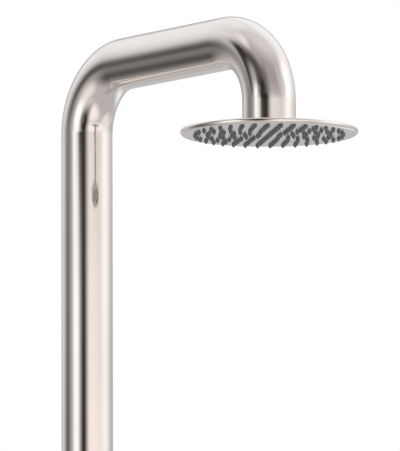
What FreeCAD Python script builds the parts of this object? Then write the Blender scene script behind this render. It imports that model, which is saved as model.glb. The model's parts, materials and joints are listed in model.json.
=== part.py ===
import FreeCAD, Part

import math
import operator
import os

import Sketcher

# Outdoor shower post: a round steel tube that stands on a base plate, bends forwards into a short arm and
# down again into a thin round rain head. A lever mixer sits in a branch on the front of the post.
# Frame: origin at the centre of the base plate's underside, +Z up, +X along the arm. Millimetres.

DRIVING_SIZES = {
    # post and arm
    "arm_height": 2200.0,
    "arm_reach": 340.0,
    "tube_radius": 30.15,
    "tube_wall": 2.0,
    "bend_radius": 76.2,
    # base plate and its cover
    "plate_radius": 120.0,
    "plate_thickness": 12.0,
    "plate_bore": 26.0,
    "plate_chamfer": 1.5,
    "bolt_circle_radius": 95.0,
    "bolt_hole_radius": 5.5,
    "bolt_count": 4,
    "weld_leg": 5.0,
    "cover_margin": 7.0,
    "cover_wall": 1.2,
    "cover_skirt": 20.0,
    "cover_corner": 10.0,
    "cover_rise": 14.0,
    "cover_neck": 10.0,
    "cover_lip": 0.5,
    "cover_lift": 0.3,
    "seal_width": 5.0,
    "seal_height": 4.8,
    "seal_bevel": 1.2,
    # supply block in the foot of the post
    "block_height": 50.0,
    "block_recess": 0.5,
    "inlet_radius": 9.3155,
    "inlet_depth": 11.0,
    "filter_radius": 8.7,
    "filter_thickness": 1.5,
    "channel_radius": 4.5,
    "screw_radius": 3.0,
    "screw_length": 10.0,
    "screw_level": 33.0,
    # water lines
    "line_offset": 11.0,
    "hose_radius": 5.5,
    "hose_bore": 3.5,
    "riser_radius": 8.0,
    "riser_bore": 5.0,
    "ferrule_stem_radius": 6.0,
    "ferrule_stem": 6.0,
    "ferrule_collar": 3.0,
    "ferrule_grip": 16.0,
    "ferrule_wall": 1.3,
    "ferrule_rim": 0.65,
    "ferrule_barb_wall": 0.65,
    # mixer
    "mixer_level": 1100.0,
    "branch_wall": 1.5,
    "branch_end": 4.2,
    "body_wall": 3.9,
    "core_wall": 4.4,
    "core_half_height": 12.5,
    "core_back": 17.0,
    "core_front": 20.0,
    "port_channel_radius": 2.5,
    "port_channel_level": 4.5,
    "cartridge_radius": 17.5,
    "cartridge_wall": 1.5,
    "cartridge_back": 34.0,
    "cartridge_length": 15.5,
    "cartridge_neck_radius": 12.0,
    "cartridge_neck_length": 6.0,
    "cartridge_neck_wall": 2.4,
    "seal_thickness": 1.5,
    "fixed_disc_thickness": 3.8,
    "moving_disc_thickness": 3.6,
    "disc_pocket": 1.8,
    "driver_thickness": 4.0,
    "driver_radius": 10.5,
    "rotor_flange": 2.0,
    "nut_step": 1.9,
    "nut_length": 5.5,
    "pivot_step": 4.8,
    "pivot_pin_radius": 1.5,
    "socket_floor": 0.6,
    "socket_play": 0.35,
    "stem_ball_radius": 2.0,
    "stem_waist_radius": 1.4,
    "stem_waist_length": 6.4,
    "stem_radius": 3.2,
    "dome_step": 2.0,
    "dome_wall": 1.4,
    "dome_opening": 13.2,
    "cap_rear": 5.5,
    "cap_thickness": 9.6,
    "cap_wall": 3.5,
    "cap_edge": 3.0,
    "lever_x": 17.0,
    "lever_radius": 4.0,
    "lever_length": 98.0,
    "lever_grip": 5.0,
    "grub_step": 3.6,
    "grub_radius": 2.0,
    "grub_length": 7.5,
    "body_screw_x": 44.0,
    "body_screw_length": 4.5,
    "index_radius": 5.0,
    "index_thickness": 1.5,
    # rain head
    "head_radius": 100.0,
    "head_height": 12.4,
    "rim_face_width": 3.6,
    "rim_widest": 4.0,
    "rim_top_width": 1.7,
    "rim_height": 6.0,
    "rim_depth": 4.8,
    "shell_wall": 1.2,
    "shell_flat_radius": 40.0,
    "face_thickness": 1.2,
    "mat_thickness": 1.5,
    "nozzle_rings": 6,
    "inner_ring_nozzles": 6,
    "nozzle_margin": 13.18,
    "nozzle_collar_radius": 2.3,
    "nozzle_collar_height": 2.2,
    "nozzle_tip_radius": 1.2,
    "nozzle_tip_length": 1.4,
    "nozzle_bore": 0.5,
    # joint between tube end and head
    "bush_margin": 2.3,
    "bush_web": 1.4,
    "thread_radius": 9.4,
    "thread_depth": 10.5,
    "nipple_rim": 5.6,
    "nipple_flange": 2.5,
    "nipple_bore": 6.0,
    "washer_thickness": 0.8,
    "filter_washer_thickness": 1.0,
    "regulator_wall": 2.0,
    "regulator_thickness": 2.8,
    "riser_insertion": 11.0,
    "ring_half_height": 1.2,
    "ring_depth": 1.8,
    "ring_level": 13.8,
    # clearances
    "running_gap": 0.05,
    "seat_gap": 0.1,
    "slot_gap": 0.2,
    "clear_gap": 0.4,
}

LEFT = 1
RIGHT = -1
BOLT_TURN = math.radians(45)


class Size:
    """A size held as a number together with the formula on the sheet's cells that gives it."""

    def __init__(self, value, formula):
        self.value = value
        self.formula = formula

    def _join(self, other, sign, join):
        other = as_size(other)
        return Size(join(self.value, other.value), f"({self.formula} {sign} {other.formula})")

    def __add__(self, other):
        return self._join(other, "+", operator.add)

    def __sub__(self, other):
        return self._join(other, "-", operator.sub)

    def __mul__(self, other):
        return self._join(other, "*", operator.mul)

    def __truediv__(self, other):
        return self._join(other, "/", operator.truediv)

    def __neg__(self):
        return as_size(0) - self


def as_size(value):
    """Gives a plain number as a Size, and a Size as it is."""
    return value if isinstance(value, Size) else Size(value, repr(value))


def root(size):
    """The square root of a Size."""
    return Size(math.sqrt(size.value), f"sqrt({size.formula})")


def chord(radius, distance):
    """Half the chord that lies at a distance from the centre of a circle or ball."""
    return root(radius * radius - distance * distance)


document = FreeCAD.newDocument("ShowerPost")
sheet = document.addObject("Spreadsheet::Sheet", "Sizes")
for row, (alias, number) in enumerate(DRIVING_SIZES.items(), start=1):
    sheet.set(f"A{row}", alias)
    sheet.set(f"B{row}", str(number))
    sheet.setAlias(f"B{row}", alias)
document.recompute()


def size(alias):
    """A driving size, read from the sheet."""
    return Size(float(sheet.get(alias)), f"Sizes.{alias}")


def count(alias):
    """A driving number of copies, read from the sheet."""
    return int(sheet.get(alias))


# ---------------------------------------------------------------------------------------------
# Sketches and features
# ---------------------------------------------------------------------------------------------

parts = []


def new_part(label):
    """Starts a sub-part."""
    body = document.addObject("PartDesign::Body", label)
    body.Label = label
    parts.append(body)
    return body


def place(body, x=0, y=0, z=0):
    """Sets where a sub-part's own origin lies."""
    start = [as_size(x), as_size(y), as_size(z)]
    body.Placement = FreeCAD.Placement(FreeCAD.Vector(*[s.value for s in start]), FreeCAD.Rotation())
    for axis, s in zip("xyz", start):
        body.setExpression(f"Placement.Base.{axis}", s.formula)
    return body


def new_sketch(body, plane, height=0):
    """Starts a sketch on one of the part's own planes, raised along the plane's normal."""
    sketch = body.newObject("Sketcher::SketchObject", f"{body.Label}_sketch")
    support = next(f for f in body.Origin.OriginFeatures if f.Role == f"{plane}_Plane")
    sketch.AttachmentSupport = [(support, "")]
    sketch.MapMode = "FlatFace"
    raised = as_size(height)
    sketch.AttachmentOffset = FreeCAD.Placement(FreeCAD.Vector(0, 0, raised.value), FreeCAD.Rotation())
    sketch.setExpression("AttachmentOffset.Base.z", raised.formula)
    return sketch


def bind(sketch, constraint, formula):
    """Adds a constraint whose value follows a formula."""
    index = sketch.addConstraint(constraint)
    sketch.setExpression(f"Constraints[{index}]", formula)


def pin_point(sketch, edge, end, x, y):
    """Fixes a point of an edge at its distances from the sketch's origin."""
    bind(sketch, Sketcher.Constraint("DistanceX", -1, 1, edge, end, x.value), x.formula)
    bind(sketch, Sketcher.Constraint("DistanceY", -1, 1, edge, end, y.value), y.formula)


def add_arc(sketch, start, end, radius, turn):
    """Adds the short arc between two points, and gives its number and its first and last point's numbers."""
    middle = (start + end) / 2
    across = end - start
    side = FreeCAD.Vector(-across.y, across.x, 0).normalize() * turn
    centre = middle + side * math.sqrt(radius.value**2 - (across.Length / 2) ** 2)
    first, last = (start, end) if turn == LEFT else (end, start)
    begin = math.atan2(first.y - centre.y, first.x - centre.x)
    finish = math.atan2(last.y - centre.y, last.x - centre.x)
    circle = Part.Circle(centre, FreeCAD.Vector(0, 0, 1), radius.value)
    edge = sketch.addGeometry(Part.ArcOfCircle(circle, begin, finish))
    bind(sketch, Sketcher.Constraint("Radius", edge, radius.value), radius.formula)
    return (edge, 1, 2) if turn == LEFT else (edge, 2, 1)


def draw(sketch, points, closed=True):
    """Draws edges through points: (x, y), or (x, y, radius, turn) where an arc ends there."""
    corners = [(as_size(p[0]), as_size(p[1])) for p in points]
    places = [FreeCAD.Vector(x.value, y.value, 0) for x, y in corners]
    edges = []
    last = len(points) if closed else len(points) - 1
    for i in range(last):
        j = (i + 1) % len(points)
        if len(points[j]) == 4:
            edges.append(add_arc(sketch, places[i], places[j], as_size(points[j][2]), points[j][3]))
        else:
            edges.append((sketch.addGeometry(Part.LineSegment(places[i], places[j])), 1, 2))
    for (edge, start, _), (x, y) in zip(edges, corners):
        pin_point(sketch, edge, start, x, y)
    for (edge, _, end), (following, start, _) in zip(edges, edges[1:]):
        sketch.addConstraint(Sketcher.Constraint("Coincident", edge, end, following, start))
    edge, _, end = edges[-1]
    if closed:
        sketch.addConstraint(Sketcher.Constraint("Coincident", edge, end, edges[0][0], edges[0][1]))
    else:
        pin_point(sketch, edge, end, *corners[-1])
    return sketch


def draw_circle(sketch, radius, x=0, y=0):
    """Draws a circle about a point."""
    radius, x, y = as_size(radius), as_size(x), as_size(y)
    centre = FreeCAD.Vector(x.value, y.value, 0)
    edge = sketch.addGeometry(Part.Circle(centre, FreeCAD.Vector(0, 0, 1), radius.value))
    bind(sketch, Sketcher.Constraint("Radius", edge, radius.value), radius.formula)
    pin_point(sketch, edge, 3, x, y)
    return sketch


def draw_box(sketch, low_x, low_y, high_x, high_y):
    """Draws a rectangle between two corners."""
    return draw(sketch, [(low_x, low_y), (high_x, low_y), (high_x, high_y), (low_x, high_y)])


def extrude(kind, sketch, length, backwards=False, both_ways=False):
    """Adds a pad, or cuts a pocket, from a sketch. Forwards is along the sketch's normal."""
    body = sketch.getParentGeoFeatureGroup()
    feature = body.newObject(f"PartDesign::{kind}", f"{body.Label}_{kind.lower()}")
    feature.Profile = sketch
    length = as_size(length)
    feature.Length = length.value
    feature.setExpression("Length", length.formula)
    feature.SideType = "Symmetric" if both_ways else "One side"
    feature.Reversed = backwards if kind == "Pad" else not backwards
    sketch.Visibility = False
    return feature


def cut_through(sketch, both_ways=False, backwards=False):
    """Cuts a pocket from a sketch through all of the part. Forwards is along the sketch's normal."""
    body = sketch.getParentGeoFeatureGroup()
    feature = body.newObject("PartDesign::Pocket", f"{body.Label}_cut")
    feature.Profile = sketch
    feature.Type = "ThroughAll"
    feature.SideType = "Symmetric" if both_ways else "One side"
    feature.Reversed = not backwards
    sketch.Visibility = False
    return feature


def revolve(sketch, axis, kind="Revolution"):
    """Turns a sketch a full circle about its own H or V axis."""
    body = sketch.getParentGeoFeatureGroup()
    feature = body.newObject(f"PartDesign::{kind}", f"{body.Label}_turned")
    feature.Profile = sketch
    feature.ReferenceAxis = (sketch, [f"{axis}_Axis"])
    feature.Angle = 360
    return feature


def repeat_round(body, features, copies):
    """Repeats features evenly about the part's own Z axis."""
    pattern = body.newObject("PartDesign::PolarPattern", f"{body.Label}_ring")
    pattern.Originals = features
    axis = next(f for f in body.Origin.OriginFeatures if f.Role == "Z_Axis")
    pattern.Axis = (axis, [""])
    pattern.Angle = 360
    pattern.Occurrences = copies
    body.Tip = pattern
    return pattern


def turned_upright(label, points, **where):
    """A part turned about its own Z axis from (radius, height) points."""
    body = place(new_part(label), **where)
    revolve(draw(new_sketch(body, "XZ"), points), "V")
    return body


def turned_level(label, points, **where):
    """A part turned about its own X axis from (length, radius) points."""
    body = place(new_part(label), **where)
    revolve(draw(new_sketch(body, "XZ"), points), "H")
    return body


def ring_section(inner, outer, low, high):
    """The corners of a ring's section: radii first, then heights."""
    return [(inner, low), (outer, low), (outer, high), (inner, high)]


def level_section(back, front, inner, outer):
    """The corners of the section of a ring that lies along X."""
    return [(back, inner), (front, inner), (front, outer), (back, outer)]


# ---------------------------------------------------------------------------------------------
# Levels and radii that several parts share
# ---------------------------------------------------------------------------------------------

running_gap = size("running_gap")
seat_gap = size("seat_gap")
slot_gap = size("slot_gap")
line_offset = size("line_offset")
hot_side = -line_offset
cold_side = line_offset

# tube and head
tube_radius = size("tube_radius")
tube_inside = tube_radius - size("tube_wall")
bush_outer = tube_inside - seat_gap
bush_socket_floor = size("thread_depth") + size("bush_web")
bush_height = bush_socket_floor + seat_gap + size("riser_insertion")
bend_start = size("arm_height") - size("bend_radius")
tube_end = bend_start - bush_height - size("bush_margin")
face_level = tube_end - size("head_height")
head_top = size("head_height")

# foot
plate_top = size("plate_thickness")
block_top = plate_top + size("block_height")
block_screw_level = plate_top + size("screw_level")
socket_radius = size("ferrule_stem_radius") + seat_gap

# mixer, from its cartridge outwards
mixer_level = size("mixer_level")
nut_radius = size("cartridge_radius") + size("nut_step")
body_radius = nut_radius + seat_gap + size("body_wall")
branch_inside = body_radius + seat_gap
branch_radius = branch_inside + size("branch_wall")
core_radius = line_offset + socket_radius + size("core_wall")
dome_radius = branch_radius - size("dome_step")
cap_ball = dome_radius + size("clear_gap")

# mixer, from its cartridge's back to the cap's front
housing_back = size("cartridge_back") + size("seal_thickness")
shoulder = housing_back + size("cartridge_length")
branch_front = shoulder + size("branch_end")
pivot_x = branch_front + size("pivot_step")
fixed_back = housing_back + running_gap
fixed_front = fixed_back + size("fixed_disc_thickness")
moving_back = fixed_front + running_gap
moving_front = moving_back + size("moving_disc_thickness")
driver_back = moving_front + running_gap
driver_front = driver_back + size("driver_thickness")
ball_socket = size("stem_ball_radius") + size("socket_play")
ball_centre = driver_back + size("socket_floor") + ball_socket
cap_front = cap_ball + size("cap_thickness")
stem_reach = cap_front - size("cap_wall")
grub_x = cap_ball + size("grub_step")


# ---------------------------------------------------------------------------------------------
# Foot of the post
# ---------------------------------------------------------------------------------------------

def base_plate():
    """Round steel plate with a bevelled upper edge, a bore for the supply lines and anchor holes."""
    radius, chamfer = size("plate_radius"), size("plate_chamfer")
    bore = size("plate_bore")
    body = turned_upright("base_plate", [
        (bore, 0), (radius, 0), (radius, plate_top - chamfer), (radius - chamfer, plate_top),
        (bore, plate_top),
    ])
    hole_x = size("bolt_circle_radius") * math.cos(BOLT_TURN)
    hole_y = size("bolt_circle_radius") * math.sin(BOLT_TURN)
    pocket = extrude("Pocket", draw_circle(new_sketch(body, "XY"), size("bolt_hole_radius"), hole_x, hole_y),
                     plate_top)
    repeat_round(body, [pocket], count("bolt_count"))


def base_weld():
    """Fillet weld that joins the tube to the plate."""
    inner, leg = tube_radius + running_gap, size("weld_leg")
    turned_upright("base_weld", [(inner, plate_top), (inner + leg, plate_top), (inner, plate_top + leg)])


def base_cover():
    """Spun cover that hides the plate and its bolts, and slides up the tube."""
    wall, corner, lift = size("cover_wall"), size("cover_corner"), size("cover_lift")
    outer = size("plate_radius") + size("cover_margin")
    skirt, rise = size("cover_skirt"), size("cover_rise")
    shoulder = skirt + corner
    collar = tube_radius + size("seal_width") + wall
    neck_foot = shoulder + rise
    neck_top = neck_foot + size("cover_neck")
    lip = tube_radius + size("cover_lip")
    turned_upright("base_cover", [
        (outer, lift),
        (outer, skirt),
        (outer - corner, shoulder, corner, LEFT),
        (collar, neck_foot),
        (collar, neck_top),
        (lip, neck_top),
        (lip, neck_top - wall),
        (collar - wall, neck_top - wall),
        (collar - wall, neck_foot - wall),
        (outer - corner, shoulder - wall),
        (outer - wall, skirt, corner - wall, RIGHT),
        (outer - wall, lift),
    ])
    seal_top = neck_top - wall - running_gap
    seal_low = seal_top - size("seal_height")
    bevel = size("seal_bevel")
    turned_upright("cover_seal", [
        (tube_radius + running_gap, seal_low + bevel),
        (tube_radius + size("seal_width") - running_gap, seal_low),
        (tube_radius + size("seal_width") - running_gap, seal_top),
        (tube_radius + running_gap, seal_top - bevel),
    ])


def inlet_block():
    """Brass block that stands on the plate and reaches down its bore: threads below, hose sockets above."""
    low = size("block_recess")
    neck = size("plate_bore") - seat_gap
    body = turned_upright("inlet_block", [
        (0, low), (neck, low), (neck, plate_top), (bush_outer, plate_top), (bush_outer, block_top),
        (0, block_top),
    ])
    depth = size("inlet_depth")
    chamber = size("filter_thickness") + seat_gap
    chamber_radius = size("filter_radius") + running_gap
    for side in (hot_side, cold_side):
        extrude("Pocket", draw_circle(new_sketch(body, "XY", low), size("inlet_radius"), 0, side), depth)
        extrude("Pocket", draw_circle(new_sketch(body, "XY", low), chamber_radius, 0, side), depth + chamber)
        cut_through(draw_circle(new_sketch(body, "XY", low), size("channel_radius"), 0, side))
        socket = draw_circle(new_sketch(body, "XY", block_top), socket_radius, 0, side)
        extrude("Pocket", socket, size("ferrule_stem") + seat_gap, backwards=True)
    length = size("screw_length")
    front_hole = draw_circle(new_sketch(body, "YZ", bush_outer), size("screw_radius"), 0, block_screw_level)
    extrude("Pocket", front_hole, length, backwards=True)
    back_hole = draw_circle(new_sketch(body, "YZ", -bush_outer), size("screw_radius"), 0, block_screw_level)
    extrude("Pocket", back_hole, length)


def block_screws():
    """Set screws that hold the block, flush with the tube's outside."""
    outer = tube_radius - seat_gap
    inner = bush_outer - size("screw_length") + seat_gap
    radius = size("screw_radius") - running_gap
    for name, way in (("block_screw_front", 1), ("block_screw_back", -1)):
        turned_level(name, level_section(inner * way, outer * way, as_size(0), radius), z=block_screw_level)


def inlet_filters():
    """Strainer discs at the inner end of the supply threads."""
    low = size("block_recess") + size("inlet_depth") + seat_gap
    for name, side in (("inlet_filter_hot", hot_side), ("inlet_filter_cold", cold_side)):
        turned_upright(name, ring_section(
            as_size(0), size("filter_radius"), as_size(0), size("filter_thickness")), y=side, z=low)


# ---------------------------------------------------------------------------------------------
# Tube
# ---------------------------------------------------------------------------------------------

def centre_line(body, low, end):
    """The line through the tube's middle: up the post, over the two bends and down to the head."""
    bend = size("bend_radius")
    height, reach = size("arm_height"), size("arm_reach")
    return draw(new_sketch(body, "XZ"), [
        (0, low), (0, bend_start), (bend, height, bend, RIGHT), (reach - bend, height),
        (reach, bend_start, bend, RIGHT), (reach, end),
    ], closed=False)


def pipe_along(body, path, outer, inner, low):
    """Carries a ring along a path that starts upwards at a level."""
    ring = draw_circle(draw_circle(new_sketch(body, "XY", low), outer), inner)
    pipe = body.newObject("PartDesign::AdditivePipe", f"{body.Label}_pipe")
    pipe.Profile = ring
    pipe.Spine = path
    return pipe


def post_tube():
    """One bent tube, with the mixer's opening in front and holes for the block's screws."""
    body = new_part("post_tube")
    pipe_along(body, centre_line(body, plate_top, tube_end), tube_radius, tube_inside, plate_top)
    opening = draw_circle(new_sketch(body, "YZ"), branch_inside, 0, mixer_level)
    extrude("Pocket", opening, branch_front)
    screw_holes = draw_circle(new_sketch(body, "YZ"), size("screw_radius"), 0, block_screw_level)
    cut_through(screw_holes, both_ways=True)


# ---------------------------------------------------------------------------------------------
# Water lines inside the post
# ---------------------------------------------------------------------------------------------

def ferrule(label, outer, bore, upwards, **where):
    """Crimped hose end: a stem that enters a socket, a collar, a barb and a sleeve round the hose."""
    stem, shoulder_level = size("ferrule_stem"), size("ferrule_collar")
    end = shoulder_level + size("ferrule_grip")
    sleeve_inside = outer + running_gap
    sleeve = sleeve_inside + size("ferrule_wall")
    rim = sleeve + size("ferrule_rim")
    barb = bore - running_gap
    passage = bore - size("ferrule_barb_wall")
    way = 1 if upwards else -1
    points = [
        (passage, -stem), (size("ferrule_stem_radius"), -stem), (size("ferrule_stem_radius"), 0), (rim, 0),
        (rim, shoulder_level), (sleeve, shoulder_level), (sleeve, end), (sleeve_inside, end),
        (sleeve_inside, shoulder_level), (barb, shoulder_level), (barb, end), (passage, end),
    ]
    turned_upright(label, [(radius, as_size(level) * way) for radius, level in points], **where)


def supply_lines():
    """Hot and cold hoses from the block up to the mixer, with their crimped ends."""
    port_level = mixer_level - size("core_half_height")
    grip_start = size("ferrule_collar") + seat_gap
    low, high = block_top + grip_start, port_level - grip_start
    outer, bore = size("hose_radius"), size("hose_bore")
    for name, side in (("hot", hot_side), ("cold", cold_side)):
        turned_upright(f"{name}_hose", ring_section(bore, outer, low, high), y=side)
        ferrule(f"{name}_ferrule_lower", outer, bore, True, y=side, z=block_top)
        ferrule(f"{name}_ferrule_upper", outer, bore, False, y=side, z=port_level)


def riser_line():
    """The mixed-water line: up the post, through the arm and down into the bush above the head."""
    port_level = mixer_level + size("core_half_height")
    low = port_level + size("ferrule_collar") + seat_gap
    end = tube_end + bush_height - size("riser_insertion")
    outer, bore = size("riser_radius"), size("riser_bore")
    body = new_part("riser_hose")
    pipe_along(body, centre_line(body, low, end), outer, bore, low)
    ferrule("riser_ferrule", outer, bore, True, z=port_level)


# ---------------------------------------------------------------------------------------------
# Mixer
# ---------------------------------------------------------------------------------------------

def valve_branch():
    """Short tube welded to the front of the post, which holds the mixer."""
    body = place(new_part("valve_branch"), z=mixer_level)
    ring = draw_circle(draw_circle(new_sketch(body, "YZ"), branch_radius), branch_inside)
    extrude("Pad", ring, branch_front)
    cut_through(draw_circle(new_sketch(body, "XY"), tube_radius + running_gap), both_ways=True)
    cut_screw_hole(body)


def cut_screw_hole(body):
    """Cuts the hole for the grub screw that holds the mixer body, from below."""
    hole = draw_circle(new_sketch(body, "XY", -branch_radius), size("grub_radius") + running_gap,
                       size("body_screw_x"))
    extrude("Pocket", hole, size("body_screw_length") + slot_gap)


def port_channels(body, length):
    """Cuts the hot, cold and mixed-water ways, which run along X at the same places in several parts."""
    radius, level = size("port_channel_radius"), size("port_channel_level")
    for y, z in ((hot_side, -level), (cold_side, -level), (0, level)):
        extrude("Pocket", draw_circle(new_sketch(body, "YZ"), radius, y, z), length)


def mixer_body():
    """Brass body: a flattened core inside the post with three hose sockets, and a cup for the cartridge."""
    half = size("core_half_height")
    back, front = -size("core_back"), size("core_front")
    cup, cup_back = size("cartridge_radius") + seat_gap, size("cartridge_back")
    thread = nut_radius + seat_gap
    end = branch_front - seat_gap
    body = turned_level("mixer_body", [
        (back, 0), (back, core_radius), (front, core_radius), (front, body_radius), (end, body_radius),
        (end, thread), (shoulder, thread), (shoulder, cup), (cup_back, cup), (cup_back, 0),
    ], z=mixer_level)
    for way in (1, -1):
        flat = draw_box(new_sketch(body, "XZ"), back - seat_gap, half * way, front, core_radius * way * 2)
        cut_through(flat, both_ways=True)
    depth = size("ferrule_stem") + seat_gap
    for side in (hot_side, cold_side):
        extrude("Pocket", draw_circle(new_sketch(body, "XY", -half), socket_radius, 0, side), depth)
    extrude("Pocket", draw_circle(new_sketch(body, "XY", half), socket_radius), depth, backwards=True)
    port_channels(body, cup_back)
    cut_screw_hole(body)


def cartridge():
    """The mixer's cartridge, from the seal at the back to the nut in front."""
    back = size("cartridge_back")
    outer, wall = size("cartridge_radius"), size("cartridge_wall")
    cavity = outer - wall
    cavity_front = shoulder - wall
    neck = size("cartridge_neck_radius")
    neck_outside = neck + size("cartridge_neck_wall")
    neck_end = shoulder + size("cartridge_neck_length")
    disc_radius = cavity - seat_gap
    driver_radius = size("driver_radius")
    centre = as_size(0)

    seal = turned_level("cartridge_seal", level_section(
        back, housing_back, centre, disc_radius), z=mixer_level)
    port_channels(seal, housing_back)

    turned_level("cartridge_housing", [
        (housing_back, cavity), (housing_back, outer), (shoulder, outer), (shoulder, neck_outside),
        (neck_end, neck_outside), (neck_end, neck + running_gap), (cavity_front, neck + running_gap),
        (cavity_front, cavity),
    ], z=mixer_level)

    fixed = turned_level("fixed_disc", level_section(
        fixed_back, fixed_front, centre, disc_radius), z=mixer_level)
    port_channels(fixed, fixed_front)

    moving = turned_level("moving_disc", level_section(
        moving_back, moving_front, centre, driver_radius), z=mixer_level)
    pocket_radius = size("port_channel_level") + size("port_channel_radius")
    extrude("Pocket", draw_circle(new_sketch(moving, "YZ", moving_back), pocket_radius), size("disc_pocket"))

    driver = turned_level("disc_driver", level_section(
        driver_back, driver_front, centre, driver_radius), z=mixer_level)
    cut_through(draw_circle(new_sketch(driver, "YZ", ball_centre - ball_socket), ball_socket))

    rotor(cavity, cavity_front)

    turned_level("cartridge_nut", level_section(
        shoulder + running_gap, shoulder + size("nut_length"), neck_outside + seat_gap, nut_radius),
        z=mixer_level)


def rotor(cavity, cavity_front):
    """Turning core of the cartridge, slotted for the stem, with the pin that the stem tilts on."""
    neck = size("cartridge_neck_radius")
    flange_front = cavity_front - seat_gap
    flange_back = flange_front - size("rotor_flange")
    end = pivot_x + size("stem_radius")
    body = turned_level("cartridge_rotor", [
        (flange_back, 0), (flange_back, cavity - slot_gap), (flange_front, cavity - slot_gap),
        (flange_front, neck), (end, neck), (end, 0),
    ], z=mixer_level)
    half_width = size("stem_radius") + slot_gap
    half_height = neck - size("cartridge_wall")
    cut_through(draw_box(new_sketch(body, "YZ"), -half_width, -half_height, half_width, half_height))
    pin_radius = size("pivot_pin_radius")
    cut_through(draw_circle(new_sketch(body, "XZ"), pin_radius + running_gap, pivot_x), both_ways=True)

    pin = place(new_part("stem_pin"), z=mixer_level)
    pin_length = neck * 2 - size("cartridge_wall")
    extrude("Pad", draw_circle(new_sketch(pin, "XZ"), pin_radius, pivot_x), pin_length, both_ways=True)


def lever_stem():
    """Stem that tilts on the pin: a ball in the disc driver at one end, the handle at the other."""
    ball, stem, waist = size("stem_ball_radius"), size("stem_radius"), size("stem_waist_radius")
    waist_end = ball_centre + size("stem_waist_length")
    end = pivot_x + stem_reach
    body = turned_level("lever_stem", [
        (ball_centre - ball, 0), (ball_centre, ball, ball, RIGHT),
        (ball_centre + chord(ball, waist), waist, ball, RIGHT), (waist_end, waist),
        (waist_end + waist, stem), (end, stem), (end, 0),
    ], z=mixer_level)
    hole = draw_circle(new_sketch(body, "XZ"), size("pivot_pin_radius") + running_gap, pivot_x)
    cut_through(hole, both_ways=True)


def dome_ring():
    """Polished part-ball round the lever's pivot, which closes the branch's end."""
    inner = dome_radius - size("dome_wall")
    back = branch_front - pivot_x
    opening = size("dome_opening")
    turned_level("dome_ring", [
        (back, chord(inner, back), inner, LEFT), (back, chord(dome_radius, back)),
        (0, dome_radius, dome_radius, RIGHT), (chord(dome_radius, opening), opening, dome_radius, RIGHT),
        (chord(inner, opening), opening), (0, inner, inner, LEFT),
    ], x=pivot_x, z=mixer_level)


def body_screw():
    """Grub screw under the branch that holds the mixer body."""
    body = place(new_part("body_screw"), x=size("body_screw_x"), z=mixer_level)
    screw = draw_circle(new_sketch(body, "XY", seat_gap - branch_radius), size("grub_radius"))
    extrude("Pad", screw, size("body_screw_length"))


def handle():
    """Cap that turns and tilts over the dome, its lever, the grub screw that grips the stem, and a mark."""
    rear, edge = size("cap_rear"), size("cap_edge")
    stem_hole = size("stem_radius") + running_gap
    stem_end = stem_reach + seat_gap
    mark = size("index_radius")
    mark_hole = mark + running_gap
    mark_back = cap_front - size("index_thickness")
    cap = turned_level("handle_cap", [
        (rear, chord(cap_ball, rear), cap_ball, LEFT), (rear, branch_radius),
        (cap_front - edge, branch_radius), (cap_front, branch_radius - edge, edge, RIGHT),
        (cap_front, mark_hole), (mark_back, mark_hole),
        (mark_back, 0), (stem_end, 0), (stem_end, stem_hole), (chord(cap_ball, stem_hole), stem_hole),
    ], x=pivot_x, z=mixer_level)
    lever, seat = size("lever_radius"), branch_radius - size("lever_grip")
    cut_through(draw_circle(new_sketch(cap, "XY", seat - seat_gap), lever + running_gap, size("lever_x")))
    grub = size("grub_radius")
    cut_through(draw_circle(new_sketch(cap, "XY"), grub + running_gap, grub_x), backwards=True)

    tip = size("lever_length")
    turned_upright("lever_rod", [
        (0, seat), (lever, seat), (lever, tip - lever), (0, tip, lever, LEFT),
    ], x=pivot_x + size("lever_x"), z=mixer_level)
    grub_top = -size("stem_radius") - seat_gap
    turned_upright("handle_screw", ring_section(as_size(0), grub, grub_top - size("grub_length"), grub_top),
                   x=pivot_x + grub_x, z=mixer_level)
    turned_level("index_plug", level_section(
        mark_back, cap_front, as_size(0), mark), x=pivot_x, z=mixer_level)


# ---------------------------------------------------------------------------------------------
# Rain head
# ---------------------------------------------------------------------------------------------

head_place = {"x": size("arm_reach"), "z": face_level}
rim_inside = size("head_radius") - size("rim_face_width")
ledge_radius = size("head_radius") - size("rim_depth")
ledge_level = size("face_thickness") + running_gap
mat_top = size("face_thickness") + size("mat_thickness")


def upright_bulge(width, height):
    """Radius of an arc that starts straight up and moves in by a width while it climbs a height."""
    return (width * width + height * height) / (width * 2)


def head_shell():
    """Shallow spun shell with a rounded rim, a ledge for the face and a hole for the nipple."""
    radius, wall = size("head_radius"), size("shell_wall")
    widest, rim_height = size("rim_widest"), size("rim_height")
    top_edge = radius - size("rim_top_width")
    flat = size("shell_flat_radius")
    slope = (head_top - rim_height) / (top_edge - flat)
    inner_edge_level = rim_height + slope * (top_edge - ledge_radius) - wall
    hole = size("thread_radius") + size("clear_gap")
    turned_upright("head_shell", [
        (rim_inside, 0),
        (radius, widest, upright_bulge(size("rim_face_width"), widest), LEFT),
        (top_edge, rim_height, upright_bulge(size("rim_top_width"), rim_height - widest), LEFT),
        (flat, head_top), (hole, head_top), (hole, head_top - wall), (flat, head_top - wall),
        (ledge_radius, inner_edge_level), (ledge_radius, ledge_level), (rim_inside, ledge_level),
    ], **head_place)


def nozzle_places():
    """Gives a middle nozzle and each ring's first one as (x, y, copies). Odd rings turn by half a step."""
    yield as_size(0), as_size(0), 1
    rings = count("nozzle_rings")
    outer_ring = rim_inside - size("nozzle_margin")
    for ring in range(1, rings + 1):
        copies = count("inner_ring_nozzles") * ring
        half_step = math.pi / copies if ring % 2 else 0.0
        radius = outer_ring * ring / rings
        yield radius * math.cos(half_step), radius * math.sin(half_step), copies


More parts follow.
